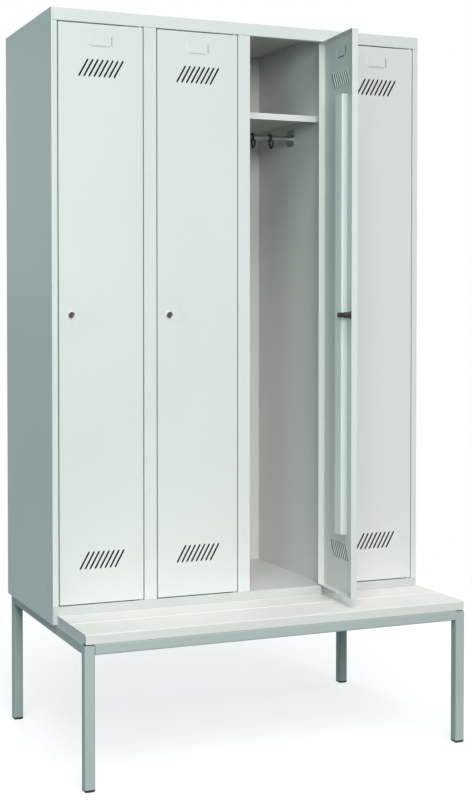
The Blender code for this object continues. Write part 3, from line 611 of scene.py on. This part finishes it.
def lock_nut(sizes):
    """The six-sided nut: r = apothem / cos(a mod 60 - 30), and no more than a cone at each face.
    Its bore is halfway down the barrel's thread."""
    start, end = sizes.nut_seat, sizes.nut_seat + sizes.nut_length
    chamfer, slope = 0.001, 1.3
    height = np.array([start, start + chamfer / 2, start + chamfer,
                       end - chamfer, end - chamfer / 2, end])
    flat = sizes.nut_radius * np.cos(pi / 6)
    six = flat / np.cos(around(TURNED_COLUMNS) % (pi / 3) - pi / 6)
    cone = flat + SOFT + slope * np.minimum(height - start, end - height)
    outside = np.minimum(six, cone[:, None])
    inside = np.full((2, TURNED_COLUMNS), sizes.barrel_radius - sizes.thread_depth / 2)
    return about(np.concatenate([outside, inside]), np.append(height, [end, start]))


def lock_plug(sizes):
    """The plug with its dished face: loops from the key slot's floor up its walls and out to the
    rim, then down to the neck that carries the cam."""
    front, dish, rim = SLACK - sizes.bezel_rise, 0.0004, 0.0014
    half, floor = sizes.key_width / 2, front + sizes.key_depth
    reach = sizes.key_slot / 2 - half
    head, neck = sizes.plug_head, sizes.plug_radius
    rows = [(reach, half * 0.8, floor + SOFT), (reach, half, floor),
            (reach, half, front + dish + SUNK), (reach, half * 1.25, front + dish),
            (reach * 0.5, head * 0.48, front + dish), (0, head * 0.80, front + dish / 2),
            (0, head * 0.88, front), (0, head * 0.96, front + dish / 4), (0, head, front + dish),
            (0, head, front + rim), (0, neck, front + rim + SUNK / 2),
            (0, neck, sizes.barrel_length + SLACK + SUNK)]
    return slot_loops(rows, sizes.key_slant)


def lock_cam(sizes):
    """The cam: two half circles joined by straight sides, with softened edges."""
    start = sizes.barrel_length + SLACK
    end = start + sizes.cam_sheet
    half, soft = sizes.cam_width / 2, 0.0005
    reach = (sizes.cam_length - half) / 2
    rows = [(reach, half - soft, start), (reach, half - soft * 0.3, start + soft * 0.3),
            (reach, half, start + soft), (reach, half, end - soft),
            (reach, half - soft * 0.3, end - soft * 0.3), (reach, half - soft, end)]
    return slot_loops(rows, -pi / 2) + np.array([reach, 0.0, 0.0])


def hook_wire(sizes, top):
    """A hook's stem, bend and tip in the Y-Z plane. The radius is the wire's, and at the end that
    of a ball, the square root of R^2 - (s - L + R)^2 at the length s of L. The loops are evenly
    spaced over most_share of the length, and closer and closer after that."""
    bend, low, most_share = sizes.hook_bend, top - sizes.hook_stem, 0.9
    turn = np.linspace(0, pi, 24)
    corners = np.concatenate([
        [(0, top)], np.stack([bend * (np.cos(turn) - 1), low - bend * np.sin(turn)], -1),
        [(-2 * bend, low + sizes.hook_rise)]])
    reached = np.append(0, np.cumsum(np.linalg.norm(np.diff(corners, axis=0), axis=1)))
    total = reached[-1]
    closing = np.sin(np.linspace(0.05, 1, 14) * pi / 2)
    s = total * np.append(np.linspace(0, most_share, 48),
                          most_share + (1 - most_share) * closing)
    path = np.stack([0 * s, np.interp(s, reached, corners[:, 0]),
                     np.interp(s, reached, corners[:, 1])], -1)
    ball = np.sqrt(np.maximum(sizes.hook_ball ** 2 - (s - total + sizes.hook_ball) ** 2, 1e-9))
    radius = np.where(s > total - sizes.hook_ball, ball, np.maximum(ball, sizes.hook_wire))
    return carried(path, radius, (1.0, 0.0, 0.0))


def hook_eye(sizes):
    """A hook's eye: a softened oblong section turned about the rail."""
    inner = sizes.rail_radius + sizes.eye_play
    outer, half, rounding = inner + sizes.eye_wall, sizes.eye_width / 2, 0.0012
    section = softened([(outer, -half), (outer, half), (inner, half), (inner, -half)], rounding)
    return about(section[:, 0], section[:, 1])


def end_plate(sizes, half, low, high):
    """A rail's end plate as loops about Y, with wide round lower corners, and upper ones as
    round as the sheet is thick."""
    upper, lower = sizes.plate_sheet, sizes.plate_corner
    outline = softened([(-half, high), (half, high), (half, low), (-half, low)],
                       [upper, upper, lower, lower], 9)
    middle = outline.mean(0)
    inset = middle + (outline - middle) * (1 - SOFT / half)
    depths = (0, SOFT, sizes.plate_sheet - SOFT, sizes.plate_sheet)
    return np.stack([np.stack([edge[:, 0], np.full(len(edge), depth), edge[:, 1]], -1)
                     for edge, depth in zip((inset, outline, outline, inset), depths)])


def square_loop(half, corner):
    """A rounded square: corner (cos a, sin a) + (half - corner) (sign cos a, sign sin a)."""
    angle = around(TURNED_COLUMNS, 0.5)
    return np.stack([corner * np.cos(angle) + (half - corner) * np.sign(np.cos(angle)),
                     corner * np.sin(angle) + (half - corner) * np.sign(np.sin(angle))], -1)


def foot(sizes, half):
    """A foot about Z: rounded squares from the floor up, with a groove, and a stem in the leg. A
    row is how far its square lies inside the foot's sides, and its height."""
    turn = np.linspace(0, pi / 2, 7)
    round_off, top, stem = sizes.foot_rounding, sizes.foot_rise, sizes.stem_inset
    groove_depth, groove_top, stem_top = 0.0005, top - 0.0012, top + sizes.stem_length
    rows = [*zip(round_off * (1 - np.sin(turn)), round_off * (1 - np.cos(turn))),
            (0, groove_top - 0.0008), (groove_depth, groove_top - 0.0006),
            (groove_depth, groove_top - SUNK), (0, groove_top), (0, top - SOFT), (SOFT, top),
            (stem, top), (stem, stem_top - 0.0005), (stem + 0.0006, stem_top)]
    return np.stack([np.insert(square_loop(half - inset, sizes.foot_corner), 2, height, axis=1)
                     for inset, height in rows])


def weld_bead(sizes, start, end):
    """A weld bead between two points, whose radius ripples as 1 + 0.14 |sin(pi s / step)| and
    falls off at its ends as the square root of 1 - |2 s / run - 1|^12."""
    run = np.linalg.norm(end - start)
    share = np.linspace(0, 1, 61)
    path = start + (end - start) * share[:, None]
    upright = abs(end[2] - start[2]) > run / 2
    across = np.array([0.0, 1.0, 0.0] if upright else [0.0, 0.0, 1.0])
    ends = np.sqrt(np.clip(1 - np.abs(2 * share - 1) ** 12, 0.02, 1))
    ripple = 1 + 0.14 * np.abs(np.sin(pi * share * run / sizes.weld_step))
    return carried(path, sizes.weld_radius * ends * ripple, across, 10)


def lock_place(number):
    """Where a lock's axis meets the door's face, and the axis."""
    joint = JOINTS[f"lock_{number}_turn"]
    return joint["pos_m"], joint["axis"]


def door_middle():
    """How far the middle of a door's width lies from its lock."""
    low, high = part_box("door_1")
    (lock_x, _, _), _ = lock_place(1)
    return (low.x + high.x) / 2 - lock_x


def rail_place(sizes, number):
    """The lowest and highest corner of a rail with its plates, and the rail's Y and Z."""
    low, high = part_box(f"clothes_rail_{number}")
    return low, high, (low.y + high.y) / 2, low.z + sizes.rail_drop


class LOCKER_OT_finishes(Operator):
    """Makes the paints, metals and plastics, and gives each CAD node its own"""
    bl_idname = "locker.finishes"
    bl_label = "Finishes"

    def execute(self, context):
        colours = context.scene.locker_colours
        satin = 0.36
        finishes = {
            "cabinet_paint": powder_coat("cabinet_paint_coat", colours.cabinet, satin),
            "stand_paint": powder_coat("stand_paint_coat", colours.stand, gloss=0.40),
            # The bench coat's warm tint is partly painted light from above; its scuffs are wear
            "bench_paint": powder_coat("bench_paint_coat", colours.bench, gloss=0.38, scuffs=1.0),
            "black_plastic": moulded_plastic("black_plastic_grain", colours.plastic),
            "bright_chrome": turned_metal("bright_chrome_rings", colours.chrome, gloss=0.24,
                                          marks=0.000002),
            "zinc_steel": plated_tube("zinc_plate", colours.zinc),
        }
        turned_metal("dark_steel_rings", colours.steel, gloss=0.34, marks=0.000004)
        # Painted shade: a near-black coat for the shadowed slot walls, slits and seams
        powder_coat("punched_edge_coat", colours.edge, gloss=0.62)
        for node in NODES.values():
            for held in node.material_slots:
                held.material = finishes[held.material.name.split(".")[0]]
        walls = [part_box(f"partition_{number}")[0].x + SHEET / 2 for number in (1, 2, 3)]
        back_low, back_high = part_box("back_panel")
        # Painted sheen: a lighter coat stands in for the light that the stiffeners' flanks catch
        stiffener_coat = powder_coat("stiffener_coat", colours.stiffener, satin)
        own = {f"door_stiffener_{number}": stiffener_coat for number in DOORS}
        for number in DOORS:
            own[f"door_{number}"] = powder_coat(f"door_{number}_coat", colours.cabinet, satin,
                                                handled=tuple(lock_place(number)[0]))
        # Painted shade: a darker coat holds back the light on the bottom rail; its scuffs are wear
        own["floor_panel"] = powder_coat("floor_panel_coat", colours.floor_pan, satin, scuffs=0.6)
        own["back_panel"] = powder_coat(
            "back_panel_coat", colours.cabinet, satin,
            welds=[back_low.x + FLANGE_MIDDLE, *walls, back_high.x - FLANGE_MIDDLE])
        for name, coat in own.items():
            NODES[name].material_slots[0].material = coat
        return {"FINISHED"}


class LOCKER_OT_slots(Operator):
    """Makes the turned-in edges of the doors' air slots, and their punched walls in painted shade
    """
    bl_idname = "locker.slots"
    bl_label = "Air slots"

    def execute(self, context):
        sizes = context.scene.locker_sizes
        places = [(door_middle() + step * sizes.slot_pitch, 0, away)
                  for away in (sizes.slots_away, -sizes.slots_away)
                  for step in np.arange(8) - 3.5]
        for number in DOORS:
            for name, loops, coat in (("slot_lips", slot_lip(sizes), "cabinet_paint_coat"),
                                      ("slot_edges", slot_shade_sleeve(sizes), "punched_edge_coat")):
                slots = [loops + place for place in places]
                piece(f"{name}_{number}", seated(lock_place(number), *slots, ring=True),
                      f"door_leaf_{number}", coat)
        return {"FINISHED"}


class LOCKER_OT_cards(Operator):
    """Makes painted shade for the card holders' slits: dark slim bars beside the side tabs, and in
    the openings behind the left and the lower one"""
    bl_idname = "locker.cards"
    bl_label = "Card holders"

    def execute(self, context):
        sizes = context.scene.locker_sizes
        tab, level, tall = sizes.card_tab, sizes.card_level, sizes.card_height / 2
        reach, middle = sizes.card_width / 2, door_middle()
        flush, behind, thick = 0.00008, 0.00075, 0.00015
        right, left, lower = 0.0005, 0.00025, 0.0013
        bars = [slim_bar((middle + reach - tab - right, 0, level), (right, flush, tall)),
                slim_bar((middle - reach + tab + left, 0, level), (left, flush, tall)),
                slim_bar((middle - reach + tab / 2, behind, level), (tab / 2 - SUNK, thick, tall)),
                slim_bar((middle, behind, level - tall - lower - SOFT),
                         (reach - 2 * tab, thick, lower))]
        for number in DOORS:
            piece(f"card_slit_shade_{number}", seated(lock_place(number), *bars),
                  f"door_leaf_{number}", "punched_edge_coat")
        return {"FINISHED"}


class LOCKER_OT_locks(Operator):
    """Makes the four cam locks: bezel, threaded barrel and nut, plug, cam and cam screw"""
    bl_idname = "locker.locks"
    bl_label = "Locks"

    def execute(self, context):
        sizes = context.scene.locker_sizes
        seat = (0, sizes.barrel_length + SLACK + sizes.cam_sheet, 0)
        screw = slotted_head(sizes.cam_screw, sizes.cam_screw / 2) * (1, -1, 1) + seat
        for number in DOORS:
            place = lock_place(number)
            leaf, core = f"door_leaf_{number}", f"lock_core_{number}"
            piece(f"lock_bezel_{number}", seated(place, lock_bezel(sizes), ring=True), leaf,
                  "bright_chrome_rings", [f"lock_body_{number}"])
            piece(f"lock_barrel_{number}",
                  seated(place, lock_barrel(sizes), lock_nut(sizes), ring=True), leaf,
                  "dark_steel_rings")
            piece(f"lock_key_plug_{number}", seated(place, lock_plug(sizes)), core,
                  "dark_steel_rings", [f"lock_plug_{number}"])
            piece(f"lock_cam_{number}", seated(place, lock_cam(sizes), screw), core,
                  "black_plastic_grain")
        return {"FINISHED"}


class LOCKER_OT_rails(Operator):
    """Makes the four clothes rails: a plated tube, two end plates and their screws"""
    bl_idname = "locker.rails"
    bl_label = "Clothes rails"

    def execute(self, context):
        sizes = context.scene.locker_sizes
        outer, inner = sizes.rail_radius, sizes.rail_radius - sizes.rail_wall
        head = slotted_head(sizes.screw_radius, sizes.screw_radius * 0.55)
        aside_share = 0.36
        for number in DOORS:
            low, high, y, z = rail_place(sizes, number)
            section = softened([(outer, low.x), (outer, high.x), (inner, high.x), (inner, low.x)],
                               SOFT)
            tube = about(section[:, 0], section[:, 1])
            skins = seated(((0, y, z), (1, 0, 0)), tube, ring=True)
            wide = high.y - low.y
            plate = end_plate(sizes, wide / 2, low.z - z, high.z - z)
            for x, inwards in ((low.x, 1), (high.x, -1)):
                skins += seated(((x, y, z), (inwards, 0, 0)), plate)
                for aside in (-aside_share * wide, aside_share * wide):
                    seat = (x + inwards * sizes.plate_sheet, y + aside, z + sizes.screw_level)
                    skins += seated((seat, (-inwards, 0, 0)), head)
            piece(f"rail_tube_{number}", skins, "cabinet", "zinc_plate",
                  [f"clothes_rail_{number}"])
        return {"FINISHED"}


class LOCKER_OT_hooks(Operator):
    """Makes the eight hooks that slide on the rails"""
    bl_idname = "locker.hooks"
    bl_label = "Sliding hooks"

    def execute(self, context):
        sizes = context.scene.locker_sizes
        for name in HOOKS:
            low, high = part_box(f"sliding_hook_{name}")
            _, _, y, z = rail_place(sizes, int(name[0]))
            middle = np.array([(low.x + high.x) / 2, y, z])
            top = -(sizes.rail_radius + sizes.eye_play + sizes.eye_wall / 2)
            piece(f"hook_piece_{name}",
                  [*seated((middle, (1, 0, 0)), hook_eye(sizes), ring=True),
                   skin(hook_wire(sizes, top) + middle)],
                  f"hook_{name}", "black_plastic_grain", [f"sliding_hook_{name}"])
        return {"FINISHED"}


class LOCKER_OT_feet(Operator):
    """Makes the four moulded feet"""
    bl_idname = "locker.feet"
    bl_label = "Feet"

    def execute(self, context):
        sizes = context.scene.locker_sizes
        for name in LEGS:
            low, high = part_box(f"foot_{name}")
            middle = np.array([(low.x + high.x) / 2, (low.y + high.y) / 2, 0.0])
            piece(f"foot_cap_{name}", [skin(foot(sizes, (high.x - low.x) / 2) + middle)],
                  "cabinet", "black_plastic_grain", [f"foot_{name}"])
        return {"FINISHED"}


class LOCKER_OT_welds(Operator):
    """Makes the weld beads at both ends of the stand's rails: upright ones on the welded sides,
    and one below"""
    bl_idname = "locker.welds"
    bl_label = "Weld beads"

    def execute(self, context):
        sizes = context.scene.locker_sizes
        below, above, aside = 0.002, 0.004, 0.003
        beads = []
        for name, sides in WELDED_SIDES.items():
            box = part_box(f"stand_rail_{name}")
            low, high = box
            run, across = (1, 0) if name in ("left", "right") else (0, 1)
            lines = [((box[side][across], low.z + below), (box[side][across], high.z - above))
                     for side in sides]
            lines.append(((low[across] + aside, low.z), (high[across] - aside, low.z)))
            for end in (low[run], high[run]):
                beads += [weld_bead(sizes, *np.insert(line, run, end, axis=1)) for line in lines]
        piece("stand_welds", [skin(loops) for loops in beads], "cabinet", "stand_paint_coat")
        return {"FINISHED"}


class LOCKER_OT_seams(Operator):
    """Makes painted shade for the open seams where the seat's sides meet its front: dark slim
    upright ovals, (x + a cos t, y + b sin t), that stand just proud of the sides"""
    bl_idname = "locker.seams"
    bl_label = "Seat seams"

    def execute(self, context):
        sizes = context.scene.locker_sizes
        low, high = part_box("bench_top")
        sunk, proud, below, above = 0.0004, 0.00005, 0.0005, 0.003
        turn = around(16)
        height = np.linspace(low.z + below, high.z - above, 9)[:, None]
        along = low.y + sizes.seam_place + sizes.seam_width / 2 * np.sin(turn) + 0 * height
        skins = []
        for x in (low.x + sunk, high.x - sunk):
            across = x + (sunk + proud) * np.cos(turn) + 0 * height
            skins.append(skin(np.stack([across, along, height + 0 * turn], -1)))
        piece("seat_seams", skins, "cabinet", "punched_edge_coat")
        return {"FINISHED"}


class LOCKER_OT_studio(Operator):
    """Sets the floor, the lights, the background and the camera"""
    bl_idname = "locker.studio"
    bl_label = "Studio"

    def execute(self, context):
        studio = context.scene.locker_studio
        self.floor(studio)
        self.world(context.scene, studio)
        self.area("key_light", studio.key, studio.key_tint)
        self.area("rear_light", studio.rear)
        self.area("left_light", studio.left, studio.left_tint)
        self.area("right_light", studio.right)
        sun = bpy.data.lights.new("top_light", "SUN")
        sun.energy = studio.top
        sun.color = studio.key_tint
        sun.angle = TOP_SPREAD
        linked("top_light", sun).rotation_euler = TOP_TURN
        self.camera(context.scene, studio)
        context.scene.view_settings.view_transform = "Standard"
        return {"FINISHED"}

    @staticmethod
    def seen(tree):
        """1 on rays from the camera, and on those that gloss or glass pass on from it."""
        outputs = tree.add("ShaderNodeLightPath").socket.node.outputs
        camera, glossy, passed = (Value(tree, outputs[f"Is {kind} Ray"])
                                  for kind in ("Camera", "Glossy", "Transmission"))
        return tree.math("MINIMUM", camera + glossy + passed, 1.0)

    def floor(self, studio):
        """A disc that faces up: (r cos a, r sin a, 0) on rings of growing radius. It is white to
        the camera, but for soft shadows near the locker, and throws back its own colour."""
        points, quads, _, _ = skin(about(FLOOR_RINGS, [0.0] * len(FLOOR_RINGS))[:, :, [0, 2, 1]])
        mesh = bpy.data.meshes.new("studio_floor")
        mesh.from_pydata(points[:-2].tolist(), [], quads[:, ::-1].tolist())
        tree = Tree(bpy.data.materials.new("studio_floor_paint"))
        place = tree.place()
        away = tree.add("ShaderNodeVectorMath", {"operation": "LENGTH"}, {0: place}, out="Value")
        seen = self.seen(tree)
        haze = tree.noise(place, scale=3.0) * 0.02
        shade = tree.mix(seen, tuple(studio.floor), (0.97, 0.97, 0.97))
        near = tree.add("ShaderNodeBsdfDiffuse", sockets={"Color": shade, "Roughness": 0.5})
        white = tree.add("ShaderNodeEmission", sockets={"Color": WHITE, "Strength": 1.0})
        far = tree.between(away, *FLOOR_FADE) * (1 - FLOOR_WHITE_SHARE)
        fade = tree.math("MINIMUM", (far + FLOOR_WHITE_SHARE + haze) * seen, 1.0)
        mixed = tree.add("ShaderNodeMixShader", sockets={0: fade, 1: near, 2: white})
        tree.add("ShaderNodeOutputMaterial", sockets={"Surface": mixed})
        mesh.materials.append(tree.owner)
        disc = linked("studio_floor", mesh)

    def world(self, scene, studio):
        """Even light from all round, and white where the camera looks past the floor."""
        scene.world = bpy.data.worlds.new("studio_air")
        tree = Tree(scene.world)
        even = tree.add("ShaderNodeBackground", sockets={"Color": (*studio.sky, 1),
                                                         "Strength": 1.0})
        white = tree.add("ShaderNodeBackground", sockets={"Color": WHITE, "Strength": 1.0})
        mixed = tree.add("ShaderNodeMixShader", sockets={0: self.seen(tree), 1: even, 2: white})
        tree.add("ShaderNodeOutputWorld", sockets={"Surface": mixed})

    @staticmethod
    def area(name, power, tint=WHITE[:3]):
        """One of the square soft lamps."""
        place, side = LAMPS[name]
        light = bpy.data.lights.new(name, "AREA")
        light.shape = "SQUARE"
        light.size = side
        light.energy = power
        light.color = tint
        lamp = linked(name, light)
        lamp.location = place
        way = Vector(LAMP_TARGET) - Vector(place)
        lamp.rotation_euler = way.to_track_quat("-Z", "Y").to_euler()
        lamp.visible_camera = False

    @staticmethod
    def camera(scene, studio):
        """The camera, fitted to the photograph."""
        data = bpy.data.cameras.new("photo_camera")
        data.lens = studio.lens
        data.sensor_width = CAMERA_SENSOR
        data.shift_x, data.shift_y = studio.shift
        data.clip_end = CAMERA_REACH
        camera = linked("photo_camera", data)
        camera.location = studio.eye
        camera.rotation_euler = Euler((pi / 2 + studio.tilt, 0.0, studio.turn))
        scene.camera = camera


OPERATORS = (LOCKER_OT_finishes, LOCKER_OT_slots, LOCKER_OT_cards, LOCKER_OT_locks,
             LOCKER_OT_rails, LOCKER_OT_hooks, LOCKER_OT_feet, LOCKER_OT_welds,
             LOCKER_OT_seams, LOCKER_OT_studio)


class LOCKER_PT_sidebar(Panel):
    """Lists the operators in the 3D view's sidebar"""
    bl_idname = "LOCKER_PT_sidebar"
    bl_label = "Locker with bench"
    bl_space_type = "VIEW_3D"
    bl_region_type = "UI"
    bl_category = "Locker"

    def draw(self, context):
        for operator in OPERATORS:
            self.layout.operator(operator.bl_idname)


GROUPS = {"locker_colours": LockerColours, "locker_sizes": HardwareSizes,
          "locker_studio": StudioValues}
CLASSES = (*GROUPS.values(), *OPERATORS, LOCKER_PT_sidebar)


def register():
    for each in CLASSES:
        bpy.utils.register_class(each)
    for name, group in GROUPS.items():
        setattr(bpy.types.Scene, name, PointerProperty(type=group))


def unregister():
    for name in GROUPS:
        delattr(bpy.types.Scene, name)
    for each in reversed(CLASSES):
        bpy.utils.unregister_class(each)


def main():
    register()
    bpy.ops.locker.finishes()
    bpy.ops.locker.slots()
    bpy.ops.locker.cards()
    bpy.ops.locker.locks()
    bpy.ops.locker.rails()
    bpy.ops.locker.hooks()
    bpy.ops.locker.feet()
    bpy.ops.locker.welds()
    bpy.ops.locker.seams()
    bpy.ops.locker.studio()


if __name__ == "__main__":
    main()
